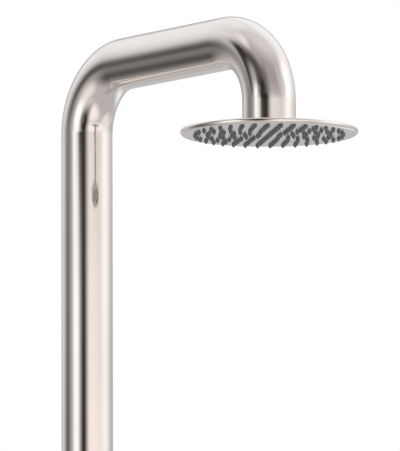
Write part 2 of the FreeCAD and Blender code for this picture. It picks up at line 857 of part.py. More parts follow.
def face_plate():
    """Thin plate inside the rim, with a hole for each nozzle."""
    body = turned_upright("face_plate", ring_section(
        as_size(0), rim_inside - seat_gap, as_size(0), size("face_thickness")), **head_place)
    hole_radius = size("nozzle_collar_radius") + seat_gap
    for x, y, copies in nozzle_places():
        hole = cut_through(draw_circle(new_sketch(body, "XY"), hole_radius, x, y))
        if copies > 1:
            repeat_round(body, [hole], copies)


def nozzle_mat():
    """Rubbery sheet above the plate whose nozzles reach down through it: a collar, a tip and a fine bore."""
    body = turned_upright("nozzle_mat", ring_section(
        as_size(0), ledge_radius - seat_gap, size("face_thickness"), mat_top), **head_place)
    collar_height, tip_length = size("nozzle_collar_height"), size("nozzle_tip_length")
    collar_radius, tip_radius = size("nozzle_collar_radius"), size("nozzle_tip_radius")
    for x, y, copies in nozzle_places():
        collar_sketch = draw_circle(new_sketch(body, "XY", -collar_height), collar_radius, x, y)
        collar = extrude("Pad", collar_sketch, collar_height + size("face_thickness"))
        tip_sketch = draw_circle(new_sketch(body, "XY", -collar_height), tip_radius, x, y)
        tip = extrude("Pad", tip_sketch, tip_length, backwards=True)
        bore_sketch = draw_circle(new_sketch(body, "XY", mat_top), size("nozzle_bore"), x, y)
        bore = extrude("Pocket", bore_sketch, mat_top + collar_height + tip_length, backwards=True)
        if copies > 1:
            repeat_round(body, [collar, tip, bore], copies)


def outlet_joint():
    """Bush in the tube's end, the nipple that holds the head up to it, and the pieces between them."""
    end_place = {"x": size("arm_reach"), "z": tube_end}
    depth = size("thread_depth")
    thread = size("thread_radius")
    thread_hole = thread + running_gap
    socket = size("riser_radius") + seat_gap
    half, ring_level = size("ring_half_height"), size("ring_level")
    groove = bush_outer - size("ring_depth")
    passage = size("nipple_bore")
    turned_upright("outlet_bush", [
        (thread_hole, 0), (bush_outer, 0), (bush_outer, ring_level - half), (groove, ring_level - half),
        (groove, ring_level + half), (bush_outer, ring_level + half), (bush_outer, bush_height),
        (socket, bush_height), (socket, bush_socket_floor), (passage, bush_socket_floor), (passage, depth),
        (thread_hole, depth),
    ], **end_place)
    turned_upright("bush_ring", ring_section(
        groove + running_gap, tube_inside - running_gap, ring_level - half + running_gap,
        ring_level + half - running_gap), **end_place)

    washer, flange = size("washer_thickness"), thread + size("nipple_rim")
    flange_top = -size("shell_wall") - washer
    flange_low = flange_top - size("nipple_flange")
    strainer = size("filter_washer_thickness")
    shank_top = depth - strainer - running_gap
    regulator = thread - size("regulator_wall")
    regulator_low = shank_top - size("regulator_thickness")
    turned_upright("head_nipple", [
        (passage, flange_low), (flange, flange_low), (flange, flange_top), (thread, flange_top),
        (thread, shank_top), (regulator + running_gap, shank_top),
        (regulator + running_gap, regulator_low - running_gap), (passage, regulator_low - running_gap),
    ], **end_place)
    turned_upright("nipple_washer", ring_section(
        thread + size("clear_gap"), flange, flange_top, flange_top + washer), **end_place)
    turned_upright("flow_regulator", ring_section(
        as_size(0), regulator, regulator_low, shank_top), **end_place)
    turned_upright("filter_washer", ring_section(
        as_size(0), thread - seat_gap, depth - strainer, depth), **end_place)


# ---------------------------------------------------------------------------------------------
# Build, check and write
# ---------------------------------------------------------------------------------------------

def check_parts():
    """Stops if a feature has failed or a sub-part has no valid shape."""
    failed = [o.Label for o in document.Objects if {"Invalid", "Error"} & set(o.State)]
    if failed:
        raise RuntimeError(f"features failed: {failed}")
    for body in parts:
        if body.Shape.isNull() or not body.Shape.isValid() or len(body.Shape.Solids) != 1:
            raise RuntimeError(f"{body.Label} is not one valid solid")


def write_parts():
    """Writes each sub-part's shape to its own file."""
    os.makedirs("parts", exist_ok=True)
    for body in parts:
        body.Shape.exportStep(f"parts/{body.Label}.step")
        print(f"{body.Label}: {body.Shape.Volume:.0f} mm3")


base_plate()
base_weld()
base_cover()
inlet_block()
block_screws()
inlet_filters()
post_tube()
supply_lines()
riser_line()
valve_branch()
mixer_body()
body_screw()
cartridge()
lever_stem()
dome_ring()
handle()
head_shell()
nozzle_mat()
face_plate()
outlet_joint()
document.recompute()
check_parts()
write_parts()
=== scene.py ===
import json
import logging
import math
from dataclasses import dataclass, replace
from enum import Enum

import bpy
import numpy as np
from mathutils import Matrix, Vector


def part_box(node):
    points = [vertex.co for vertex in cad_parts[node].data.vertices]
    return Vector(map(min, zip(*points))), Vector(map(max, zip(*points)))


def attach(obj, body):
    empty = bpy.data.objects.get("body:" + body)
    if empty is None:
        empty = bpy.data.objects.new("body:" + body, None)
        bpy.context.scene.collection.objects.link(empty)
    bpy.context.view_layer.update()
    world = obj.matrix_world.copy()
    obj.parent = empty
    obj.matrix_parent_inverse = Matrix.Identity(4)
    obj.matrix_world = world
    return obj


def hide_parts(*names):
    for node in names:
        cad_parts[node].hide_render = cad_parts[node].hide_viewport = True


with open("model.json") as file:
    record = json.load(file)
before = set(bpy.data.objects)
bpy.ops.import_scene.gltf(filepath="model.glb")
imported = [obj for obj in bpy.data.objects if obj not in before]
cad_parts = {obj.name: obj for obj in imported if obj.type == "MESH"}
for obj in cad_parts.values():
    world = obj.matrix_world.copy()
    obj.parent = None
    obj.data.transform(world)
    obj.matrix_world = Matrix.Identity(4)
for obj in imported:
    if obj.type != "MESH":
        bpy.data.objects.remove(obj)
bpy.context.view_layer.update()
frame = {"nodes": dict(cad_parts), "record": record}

# Looks of the outdoor shower post: smooth skins for the pieces that show, a finish for every piece, and a
# pale studio. Metres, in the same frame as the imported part: +Z up the post, +X along the arm.

Array = np.ndarray
Colour = tuple[float, float, float]
Triple = tuple[float, float, float]
Pair = tuple[float, float]
Socket = bpy.types.NodeSocket

LOG = logging.getLogger("shower_post")
ROUND = 160  # steps round a large piece
SHARP_EDGE = math.radians(32)  # faces that turn more than this keep their crease
GUARD = 0.0004  # how far inside a long side's ends the points lie that keep it flat
LONG_SIDE = 4 * GUARD  # shorter sides get no such points
CORNER_STEPS = 4  # points on a softened corner
CORNER_SHARE = 0.4  # most of a side that a softened corner takes
ON_AXIS = 1e-9  # radius below which a point lies on the axis
DECIMALS = 7  # decimals of a metre to which two points are the same
GRAIN_RADIUS = 0.012  # circle on which a turned piece's grain runs round
PIVOT: Triple = (0.060, 0.0, 1.1)  # where the mixer's lever turns and tilts
MIDDLE: Pair = (0.3, 0.7)  # the values that most of a cloudy pattern lies between


class Slot(Enum):
    """Material slots of the record."""

    POLISHED_STEEL = "polished_steel"
    PLATE_STEEL = "plate_steel"
    FACE_STEEL = "face_steel"
    BRASS = "brass"
    RUBBER = "nozzle_rubber"
    PLASTIC = "plastic"
    CERAMIC = "ceramic"
    HOSE = "hose"
    MARK = "mark"


class Body(Enum):
    """Bodies that pieces ride on."""

    POST = "post"
    COVER = "cover"
    HANDLE = "mixer_handle"


class Axis(Enum):
    """Axes that a skin can be turned about."""

    X = "X"
    Y = "Y"
    Z = "Z"


# ---- Skins: points, faces and grain coordinates, worked out as whole arrays ----

@dataclass(frozen=True)
class Skin:
    """A closed surface before it becomes an object.

    The grain is a coordinate of its own at each point. Polishing marks change quickly across its first two
    axes and slowly along its third, so they run along the third.
    """

    points: Array
    fours: Array
    threes: Array
    grain: Array

    def moved(self, offset: Triple) -> "Skin":
        """The skin shifted by an offset."""
        return replace(self, points=self.points + np.array(offset))

    def on_pivot(self) -> "Skin":
        """The skin with its Z axis turned to +X, by reading its axes in another order, on the pivot."""
        return replace(self, points=self.points[:, [2, 0, 1]] + np.array(PIVOT))

    def turned(self, angle: float, axis: Axis) -> "Skin":
        """The skin turned about an axis through the origin, by an angle in radians."""
        return replace(self, points=self.points @ np.array(Matrix.Rotation(angle, 3, axis.value)).T)

    def volume(self) -> float:
        """The signed volume: a sixth of the sum of each triangle's a . (b x c)."""
        corners = self.points[np.vstack([self.threes, self.fours[:, :3], self.fours[:, [0, 2, 3]]])]
        return float(np.einsum("ij,ij->", corners[:, 0], np.cross(corners[:, 1], corners[:, 2]))) / 6

    def outwards(self) -> "Skin":
        """The skin with every face's points in the order that makes it face out."""
        order = 1 if self.volume() >= 0 else -1
        return replace(self, fours=self.fours[:, ::order], threes=self.threes[:, ::order])


def joined(skins: list[Skin]) -> Skin:
    """Puts several closed skins into one, with the later ones' corner numbers raised."""
    starts = np.cumsum([0] + [len(skin.points) for skin in skins[:-1]])
    return Skin(
        np.vstack([skin.points for skin in skins]),
        np.vstack([skin.fours + first for skin, first in zip(skins, starts)]),
        np.vstack([skin.threes + first for skin, first in zip(skins, starts)]),
        np.vstack([skin.grain for skin in skins]),
    )


def full_turn(steps: int) -> Array:
    """Angles of a full turn in equal steps from 0, as one row."""
    return np.linspace(0.0, 2 * np.pi, steps, endpoint=False)[None, :]


def grid(x: Array, y: Array, z: Array) -> Array:
    """Points of a grid, rows by columns by 3, from coordinates that each fill it, a row or a column."""
    return np.stack(np.broadcast_arrays(x, y, z), axis=-1)


def around(radius: Array | float, angle: Array, height: Array | float) -> Array:
    """Points of a grid about the Z axis: (r cos t, r sin t, h), where t is a row."""
    return grid(radius * np.cos(angle), radius * np.sin(angle), height)


def travelled(line: Array) -> Array:
    """Distance along a line at each of its points, as one column: the running sum of its steps."""
    return np.cumsum(np.linalg.norm(np.diff(line, axis=0, prepend=line[:1]), axis=1))[:, None]


def sewn(points: Array, grain: Array) -> Skin:
    """Makes a closed skin from a grid that wraps both ways.

    Neighbours (i, j), (i, j+1), (i+1, j+1) and (i+1, j) make a face. Points at one place, such as a pole or
    a seam, become one point, and a face with a doubled corner becomes a triangle or goes.

    Args:
        points: Grid of points, rows by columns by 3.
        grain: Grain coordinates of the same grid.

    Returns:
        The skin, facing out.
    """
    rows, columns = points.shape[:2]
    index = np.arange(rows * columns).reshape(rows, columns)
    right, below = np.roll(index, -1, axis=1), np.roll(index, -1, axis=0)
    fours = np.stack([index, right, np.roll(below, -1, axis=1), below], axis=-1).reshape(-1, 4)
    places = np.round(points.reshape(-1, 3), DECIMALS) + 0.0
    _, first, where = np.unique(places, axis=0, return_index=True, return_inverse=True)
    fours = where.reshape(-1)[fours]
    doubled = fours == np.roll(fours, -1, axis=1)
    whole = fours[~doubled.any(axis=1)]
    ends = doubled.sum(axis=1) == 1
    threes = fours[ends][~doubled[ends]].reshape(-1, 3)
    return Skin(places[first], whole, threes, grain.reshape(-1, 3)[first]).outwards()


def arc(centre: Pair, radius: float, start: float, end: float, steps: int) -> Array:
    """Points of a round stretch of a profile: centre + radius (cos a, sin a), with a in equal steps.

    Args:
        centre: Centre as (across, along).
        radius: Radius of the arc.
        start: First angle in degrees.
        end: Last angle in degrees.
        steps: Number of equal steps.

    Returns:
        The points, steps + 1 by 2.
    """
    angle = np.radians(np.linspace(start, end, steps + 1))
    return np.stack([centre[0] + radius * np.cos(angle), centre[1] + radius * np.sin(angle)], axis=-1)


def zone(radius: float, low: float, opening: float, steps: int) -> Array:
    """A ball's section about the origin, from the height low up to where only an opening's radius is left."""
    start, end = math.degrees(math.asin(low / radius)), math.degrees(math.acos(opening / radius))
    return arc((0.0, 0.0), radius, start, end, steps)


def bulge(across: float, along: float) -> Pair:
    """Radius (a^2 + b^2) / 2a, and angle in degrees, of an arc that bends a across while it goes b along."""
    radius = (across ** 2 + along ** 2) / (2 * across)
    return radius, math.degrees(math.asin(along / radius))


def softened(profile: Array, radius: float, least_turn: float = 20.0) -> Array:
    """Rounds a closed profile's sharp corners, and guards its flats against smooth shading.

    A corner p between the neighbours a and b becomes the curve (1-t)^2 q + 2t(1-t) p + t^2 s, where q and s
    lie one radius from p towards a and b, or CORNER_SHARE of the side if that is less. Corners on the axis
    and those of an arc, which turn less than least_turn, stay.

    Args:
        profile: Corners, n by 2.
        radius: How far from the corner the rounding starts.
        least_turn: Smallest turn that counts as a sharp corner, in degrees.

    Returns:
        The points of the rounded profile.
    """
    sides = np.stack([np.roll(profile, 1, axis=0), np.roll(profile, -1, axis=0)]) - profile
    length = np.linalg.norm(sides, axis=2)
    cosine = -np.einsum("ij,ij->i", *sides) / length.prod(axis=0)
    sharp = (cosine < math.cos(math.radians(least_turn))) & (profile[:, 0] > ON_AXIS)
    reach = np.minimum(radius, CORNER_SHARE * length) / length
    q, s = (profile + sides * reach[..., None])[:, :, None, :]
    t = np.linspace(0.0, 1.0, CORNER_STEPS)[None, :, None]
    curves = (1 - t) ** 2 * q + 2 * t * (1 - t) * profile[:, None, :] + t ** 2 * s
    pieces = [curve if is_sharp else corner[None, :]
              for curve, corner, is_sharp in zip(curves, profile, sharp)]
    return guarded(np.vstack(pieces))


def guarded(profile: Array) -> Array:
    """Adds a point just inside each end of every long side, so that a smooth bend's shading stays off it.

    Args:
        profile: Corners, n by 2.

    Returns:
        The corners with the added points between them.
    """
    after = np.roll(profile, -1, axis=0) - profile
    length = np.linalg.norm(after, axis=1)
    step = after / length[:, None] * GUARD
    near, far = profile + step, profile + after - step
    rows = [np.stack([corner, first, last]) if is_long else corner[None, :]
            for corner, first, last, is_long in zip(profile, near, far, length > LONG_SIDE)]
    return np.vstack(rows)


def lathe(profile: Array, segments: int = ROUND) -> Skin:
    """Turns a closed profile about the Z axis.

    The point at (r, h) and angle t is (r cos t, r sin t, h). Its grain is (g cos t, g sin t, d), where g is
    GRAIN_RADIUS and d is the distance along the profile, so that fine marks run along the profile.

    Args:
        profile: Corners as (radius, height).
        segments: Steps round the axis.

    Returns:
        The closed skin.
    """
    angle = full_turn(segments)
    grain = around(GRAIN_RADIUS, angle, travelled(profile))
    return sewn(around(profile[:, :1], angle, profile[:, 1:]), grain)


# ---- Finishes ----

class Graph:
    """Short names for building one node tree."""

    def __init__(self, tree: bpy.types.NodeTree) -> None:
        """Keeps the tree."""
        self.tree = tree

    def add(self, kind: str, inputs: dict[str | int, object] | None = None, **own: object) -> bpy.types.Node:
        """Adds a node.

        Args:
            kind: The node's type, without the ShaderNode that it starts with.
            inputs: For an input's name or number, the socket that feeds it or the value that it holds.
            **own: The node's own properties.

        Returns:
            The node.
        """
        node = self.tree.nodes.new("ShaderNode" + kind)
        for key, value in own.items():
            setattr(node, key, value)
        for key, value in (inputs or {}).items():
            if isinstance(value, Socket):
                self.tree.links.new(value, node.inputs[key])
            else:
                node.inputs[key].default_value = value
        return node

    def maths(self, operation: str, *values: Socket) -> Socket:
        """One step of arithmetic on one or two values."""
        return self.add("Math", dict(enumerate(values)), operation=operation).outputs["Value"]

    def length(self, vector: Socket) -> Socket:
        """The length of a vector."""
        return self.add("VectorMath", {0: vector}, operation="LENGTH").outputs["Value"]

    def ramp(self, value: Socket, start: float, end: float) -> Socket:
        """A smooth step from 0 at start to 1 at end."""
        inputs = {"Value": value, "From Min": start, "From Max": end}
        return self.add("MapRange", inputs, interpolation_type="SMOOTHSTEP").outputs["Result"]

    def blend(self, share: Socket, low: Colour | Socket, high: Colour) -> Socket:
        """Mixes a colour, or a socket that gives one, with another colour by a share."""
        inputs = {"Factor": share, "A": low if isinstance(low, Socket) else (*low, 1.0), "B": (*high, 1.0)}
        return self.add("Mix", inputs, data_type="RGBA").outputs["Result"]

    def mixed(self, share: Socket, first: bpy.types.Node, second: bpy.types.Node) -> bpy.types.Node:
        """Mixes what two shaders give by a share."""
        return self.add("MixShader", {"Fac": share, 1: first.outputs[0], 2: second.outputs[0]})

    def to_camera(self) -> Socket:
        """1 for the rays that the camera sends, and 0 for the others."""
        return self.add("LightPath").outputs["Is Camera Ray"]


class Nodes(Graph):
    """Short names for building one material's nodes."""

    def __init__(self, name: str) -> None:
        """Makes the material, and finds the piece's own coordinates.

        Args:
            name: Name of the material.
        """
        self.material = bpy.data.materials.new(name)
        self.material.use_nodes = True
        super().__init__(self.material.node_tree)
        self.shader = self.tree.nodes["Principled BSDF"]
        self.place = self.add("TexCoord").outputs["Object"]

    def grain(self, scale: Triple) -> Socket:
        """The grain coordinates of a modelled skin, stretched by a scale along each axis."""
        source = self.add("Attribute", attribute_name="grain").outputs["Vector"]
        return self.add("Mapping", {"Vector": source, "Scale": scale}).outputs["Vector"]

    def noise(self, scale: float, detail: float = 3.0, place: Socket | None = None) -> Socket:
        """A cloudy pattern from 0 to 1, on the piece's own coordinates unless others are given."""
        inputs = {"Vector": place or self.place, "Scale": scale, "Detail": detail}
        return self.add("TexNoise", inputs).outputs["Fac"]

    def wave(self, place: Socket, scale: float, wander: float = 0.0, **own: str) -> Socket:
        """Stripes or rings from 0 to 1."""
        inputs = {"Vector": place, "Scale": scale, "Distortion": wander}
        return self.add("TexWave", inputs, **own).outputs["Fac"]

    def ranged(self, value: Socket, limits: Pair, span: Pair = MIDDLE) -> Socket:
        """Maps a pattern's start and end, which span gives, to two limits."""
        inputs = dict(zip(("From Min", "From Max", "To Min", "To Max"), (*span, *limits)), Value=value)
        return self.add("MapRange", inputs).outputs["Result"]

    def feed(self, name: str, value: Socket) -> None:
        """Joins a socket to an input of the surface's shader."""
        self.tree.links.new(value, self.shader.inputs[name])

    def colour(self, pattern: Socket, low: Colour, high: Colour, span: Pair = MIDDLE) -> None:
        """Gives the surface one colour at a pattern's start and another at its end."""
        self.feed("Base Color", self.blend(self.ranged(pattern, (0.0, 1.0), span), low, high))

    def sheen(self, pattern: Socket, limits: Pair, span: Pair = MIDDLE) -> None:
        """Gives the surface one roughness at a pattern's start and another at its end."""
        self.feed("Roughness", self.ranged(pattern, limits, span))

    def bump(self, height: Socket, depth: float, strength: float = 1.0) -> None:
        """Raises and lowers the surface by a pattern, over a depth in metres."""
        inputs = {"Height": height, "Distance": depth, "Strength": strength}
        self.feed("Normal", self.add("Bump", inputs).outputs["Normal"])


@dataclass(frozen=True)
class Finish:
    """What all finishes share."""

    metallic: float = 0.0

    def fill(self, nodes: Nodes) -> None:
        """Adds the finish's own nodes.

        Args:
            nodes: The material's nodes.
        """
        raise NotImplementedError

    def make(self, name: str) -> bpy.types.Material:
        """Makes the material.

        Args:
            name: Name of the material.

        Returns:
            The new material.
        """
        nodes = Nodes(name)
        nodes.shader.inputs["Metallic"].default_value = self.metallic
        self.fill(nodes)
        return nodes.material


@dataclass(frozen=True)
class PolishedSteel(Finish):
    """Stainless steel with a soft shine, fine marks along its grain and faint handling smudges."""

    metallic: float = 1.0
    pale: Colour = (0.82, 0.795, 0.775)
    warm: Colour = (0.78, 0.755, 0.735)
    cloud_scale: float = 9.0
    sheen: Pair = (0.04, 0.07)
    smudge_scale: float = 23.0
    smudge_span: Pair = (0.5, 0.72)
    smudges: Pair = (0.0, 0.03)
    streaks: Triple = (900.0, 900.0, 6.0)
    streak_depth: float = 0.0000025

    def fill(self, nodes: Nodes) -> None:
        """Adds the marks, the clouds and the smudges.

        Args:
            nodes: The material's nodes.
        """
        streak = nodes.noise(1.0, detail=4.0, place=nodes.grain(self.streaks))
        nodes.colour(nodes.noise(self.cloud_scale, detail=4.0), self.pale, self.warm)
        smudges = nodes.ranged(nodes.noise(self.smudge_scale, detail=5.0), self.smudges, self.smudge_span)
        nodes.feed("Roughness", nodes.maths("ADD", nodes.ranged(streak, self.sheen), smudges))
        nodes.bump(streak, self.streak_depth)


@dataclass(frozen=True)
class MachinedMetal(Finish):
    """Plainly machined metal, of steel as it stands: fine turning marks round Z, and a mottled colour."""

    metallic: float = 1.0
    pale: Colour = (0.62, 0.61, 0.60)
    dark: Colour = (0.50, 0.49, 0.48)
    cloud_scale: float = 45.0
    sheen: Pair = (0.3, 0.45)
    mark_scale: float = 900.0
    mark_wander: float = 1.5
    mark_depth: float = 0.00001

    def fill(self, nodes: Nodes) -> None:
        """Adds the turning marks and the mottle.

        Args:
            nodes: The material's nodes.
        """
        own = {"wave_type": "RINGS", "rings_direction": "Z"}
        rings = nodes.wave(nodes.place, self.mark_scale, self.mark_wander, **own)
        nodes.colour(nodes.noise(self.cloud_scale, detail=4.0), self.pale, self.dark)
        nodes.sheen(rings, self.sheen, span=(0.0, 1.0))
        nodes.bump(rings, self.mark_depth, strength=0.5)


@dataclass(frozen=True)
class SatinSteel(Finish):
    """Satin steel of the spray face: fine grains, slow shifts of tone, and a dim mirror image."""

    metallic: float = 1.0
    pale: Colour = (0.72, 0.71, 0.715)
    dark: Colour = (0.62, 0.61, 0.61)
    cloud_scale: float = 14.0
    sheen: Pair = (0.13, 0.20)
    grain_share: float = 0.6
    grain_scale: float = 1500.0
    grain_depth: float = 0.000004

    def fill(self, nodes: Nodes) -> None:
        """Adds the grains and the shifts of tone.

        Args:
            nodes: The material's nodes.
        """
        grains = nodes.noise(self.grain_scale, detail=2.0)
        fine = nodes.ranged(grains, (0.0, self.grain_share))
        slow = nodes.ranged(nodes.noise(self.cloud_scale), (0.0, 1.0 - self.grain_share))
        nodes.feed("Base Color", nodes.blend(nodes.maths("ADD", fine, slow), self.pale, self.dark))
        nodes.sheen(grains, self.sheen)
        nodes.bump(grains, self.grain_depth, strength=0.6)


@dataclass(frozen=True)
class Moulded(Finish):
    """A moulded or fired material, of dark silicone as it stands: clouds of two colours, and a finer skin.

    The skin raises the surface. The sheen follows it where skin_shines, and the clouds elsewhere.
    """

    low: Colour = (0.125, 0.125, 0.13)
    high: Colour = (0.185, 0.185, 0.19)
    cloud_scale: float = 60.0
    cloud_detail: float = 5.0
    cloud_span: Pair = MIDDLE
    sheen: Pair = (0.45, 0.62)
    skin_shines: bool = False
    skin_scale: float = 2500.0
    skin_depth: float = 0.00001
    skin_strength: float = 0.6

    def fill(self, nodes: Nodes) -> None:
        """Adds the clouds and the skin.

        Args:
            nodes: The material's nodes.
        """
        cloud = nodes.noise(self.cloud_scale, self.cloud_detail)
        skin = nodes.noise(self.skin_scale, detail=2.0)
        nodes.colour(cloud, self.low, self.high, self.cloud_span)
        nodes.sheen(skin if self.skin_shines else cloud, self.sheen)
        if self.skin_depth:
            nodes.bump(skin, self.skin_depth, self.skin_strength)


@dataclass(frozen=True)
class BraidedHose(Finish):
    """Hose in a woven steel braid: two sets of slanting strands that cross."""

    metallic: float = 0.9
    gap: Colour = (0.10, 0.10, 0.105)
    strand: Colour = (0.52, 0.53, 0.54)
    strand_scale: float = 260.0
    slant: float = 0.6
    sheen: Pair = (0.55, 0.3)
    strand_height: float = 0.0003

    def fill(self, nodes: Nodes) -> None:
        """Adds the strands.

        Args:
            nodes: The material's nodes.
        """
        crossing = nodes.maths("MAXIMUM", self.strands(nodes, self.slant), self.strands(nodes, -self.slant))
        nodes.colour(crossing, self.gap, self.strand)
        nodes.sheen(crossing, self.sheen)
        nodes.bump(crossing, self.strand_height, strength=0.8)

    def strands(self, nodes: Nodes, lean: float) -> Socket:
        """One set of strands, which leans one way by an angle in radians."""
        tilt = nodes.add("Mapping", {"Vector": nodes.place, "Rotation": (lean, lean, 0.0)}).outputs["Vector"]
        return nodes.wave(tilt, self.strand_scale, bands_direction="Z")


@dataclass(frozen=True)
class TwoColourMark(Finish):
    """Round mark in the cap, red on the hot side and blue on the cold side, under a glossy skin."""

    hot: Colour = (0.50, 0.045, 0.035)
    cold: Colour = (0.035, 0.10, 0.42)
    edge: Pair = (-0.0002, 0.0002)
    cloud_scale: float = 300.0
    sheen: Pair = (0.16, 0.28)

    def fill(self, nodes: Nodes) -> None:
        """Adds the two sides, which meet at Y = 0.

        Args:
            nodes: The material's nodes.
        """
        across = nodes.add("SeparateXYZ", {"Vector": nodes.place}).outputs["Y"]
        nodes.colour(across, self.hot, self.cold, self.edge)
        nodes.sheen(nodes.noise(self.cloud_scale), self.sheen)


@dataclass(frozen=True)
class PaleFloor(Finish):
    """Pale, slightly mottled screed, which turns to plain white for the camera with distance."""

    pale: Colour = (0.86, 0.86, 0.86)
    mottle: float = 0.97
    cloud_scale: float = 3.0
    sheen: Pair = (0.75, 0.9)
    fade: Pair = (1.6, 2.8)

    def fill(self, nodes: Nodes) -> None:
        """Adds the mottle and the fade.

        Args:
            nodes: The material's nodes.
        """
        cloud = nodes.noise(self.cloud_scale, detail=5.0)
        darker: Colour = tuple(channel * self.mottle for channel in self.pale)
        nodes.colour(cloud, self.pale, darker)
        nodes.sheen(cloud, self.sheen)
        share = nodes.maths("MULTIPLY", nodes.ramp(nodes.length(nodes.place), *self.fade), nodes.to_camera())
        mix = nodes.mixed(share, nodes.shader, nodes.add("Emission"))
        nodes.tree.links.new(mix.outputs["Shader"], nodes.tree.nodes["Material Output"].inputs["Surface"])


FINISHES: dict[Slot, Finish] = {
    Slot.POLISHED_STEEL: PolishedSteel(),
    Slot.PLATE_STEEL: MachinedMetal(),
    Slot.FACE_STEEL: SatinSteel(),
    Slot.BRASS: MachinedMetal(pale=(0.80, 0.64, 0.36), dark=(0.70, 0.53, 0.27), sheen=(0.24, 0.38)),
    Slot.RUBBER: Moulded(),
    Slot.PLASTIC: Moulded(
        low=(0.80, 0.80, 0.78), high=(0.70, 0.70, 0.675), cloud_scale=30.0, cloud_detail=3.0,
        sheen=(0.38, 0.52), skin_shines=True, skin_scale=1800.0, skin_depth=0.000015, skin_strength=0.5),
    Slot.CERAMIC: Moulded(
        low=(0.90, 0.89, 0.86), high=(0.80, 0.785, 0.75), cloud_scale=700.0, cloud_detail=3.0,
        cloud_span=(0.55, 0.75), sheen=(0.10, 0.2), skin_depth=0.0),
    Slot.HOSE: BraidedHose(),
    Slot.MARK: TwoColourMark(),
}


class Workshop:
    """Keeps one material for each slot, makes the finished pieces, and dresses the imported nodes."""

    def __init__(self) -> None:
        """Makes the materials."""
        self.materials = {slot: finish.make(slot.value) for slot, finish in FINISHES.items()}

    def dress(self, piece: bpy.types.Object, slot: Slot) -> None:
        """Gives a piece its slot's material."""
        piece.data.materials.clear()
        piece.data.materials.append(self.materials[slot])

    def dress_packed(self) -> None:
        """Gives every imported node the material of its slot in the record."""
        slots = {row["node"]: Slot(row["material_slot"]) for row in frame["record"]["subparts"]}
        for name, node in frame["nodes"].items():
            self.dress(node, slots[name])
        LOG.info("packed nodes dressed: %d", len(frame["nodes"]))

    def make(self, name: str, node: str, skin: Skin, slot: Slot = Slot.POLISHED_STEEL,
             body: Body = Body.POST) -> None:
        """Makes a finished piece from a skin.

        Args:
            name: Name of the piece.
            node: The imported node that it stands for.
            skin: Its closed surface, in place.
            slot: Material slot that it takes its finish from.
            body: Body that it rides on.
        """
        mesh = bpy.data.meshes.new(name)
        mesh.from_pydata(skin.points.tolist(), [], skin.fours.tolist() + skin.threes.tolist())
        mesh.shade_smooth()
        mesh.set_sharp_from_angle(angle=SHARP_EDGE)
        grain = mesh.attributes.new("grain", "FLOAT_VECTOR", "POINT")
        grain.data.foreach_set("vector", skin.grain.ravel())
        mesh.update()
        piece = bpy.data.objects.new(name, mesh)
        bpy.context.scene.collection.objects.link(piece)
        self.dress(piece, slot)
        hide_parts(node)
        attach(piece, body.value)
        LOG.info("%s: %d points", name, len(skin.points))


# ---- Sub-assemblies ----

@dataclass(frozen=True)
class PostTube:
    """The bent tube: up the post, forwards through the arm and down to the head."""

    arm_height: float = 2.2
    arm_reach: float = 0.34
    radius: float = 0.03015
    wall: float = 0.002
    bend_radius: float = 0.0762
    bend_steps: int = 48

    def path(self) -> tuple[Array, Array]:
        """The tube's middle line in the XZ plane.

        Straight stretches have only their ends. A bend is an arc in equal steps, and the angle of travel
        falls from 90 degrees at the post to -90 degrees at the head.

        Returns:
            The points (x, z), and the angle of travel at each.
        """
        low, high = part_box("post_tube")[0].z, self.arm_height
        bend, reach = self.bend_radius, self.arm_reach
        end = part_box("head_shell")[1].z
        up = np.array([[0.0, low], [0.0, low + GUARD], [0.0, high - bend - GUARD]])
        first = arc((bend, high - bend), bend, 180.0, 90.0, self.bend_steps)
        level = np.array([[bend + GUARD, high], [reach - bend - GUARD, high]])
        second = arc((reach - bend, high - bend), bend, 90.0, 0.0, self.bend_steps)
        down = np.array([[reach, high - bend - GUARD], [reach, end + GUARD], [reach, end]])
        turn = np.linspace(0.0, 90.0, self.bend_steps + 1)
        travel = np.concatenate([
            [90.0] * len(up), 90.0 - turn, [0.0] * len(level), -turn, [-90.0] * len(down)])
        return np.vstack([up, first, level, second, down]), np.radians(travel)

    def skin(self) -> Skin:
        """The tube's wall.

        At a path point p with travel angle w, the ring's point at angle t is p + R (cos t n + sin t y), where
        n is (sin w, 0, -cos w), y is the Y axis, and R is the outer radius going along the path and the inner
        radius coming back. The grain is (R cos t, R sin t, distance), so that marks run along the tube.

        Returns:
            The closed skin.
        """
        line, travel = self.path()
        count = len(line)
        there_and_back = np.concatenate([np.arange(count), np.arange(count)[::-1]])
        radius = np.repeat([self.radius, self.radius - self.wall], count)[:, None]
        distance = travelled(line)[there_and_back]
        line, travel = line[there_and_back], travel[there_and_back, None]
        angle = full_turn(ROUND)
        inwards, y = radius * np.cos(angle), radius * np.sin(angle)
        points = grid(line[:, :1] + inwards * np.sin(travel), y, line[:, 1:] - inwards * np.cos(travel))
        return sewn(points, grid(inwards, y, distance))

    def build(self, shop: Workshop) -> None:
        """Makes the tube."""
        shop.make("bent_tube", "post_tube", self.skin())


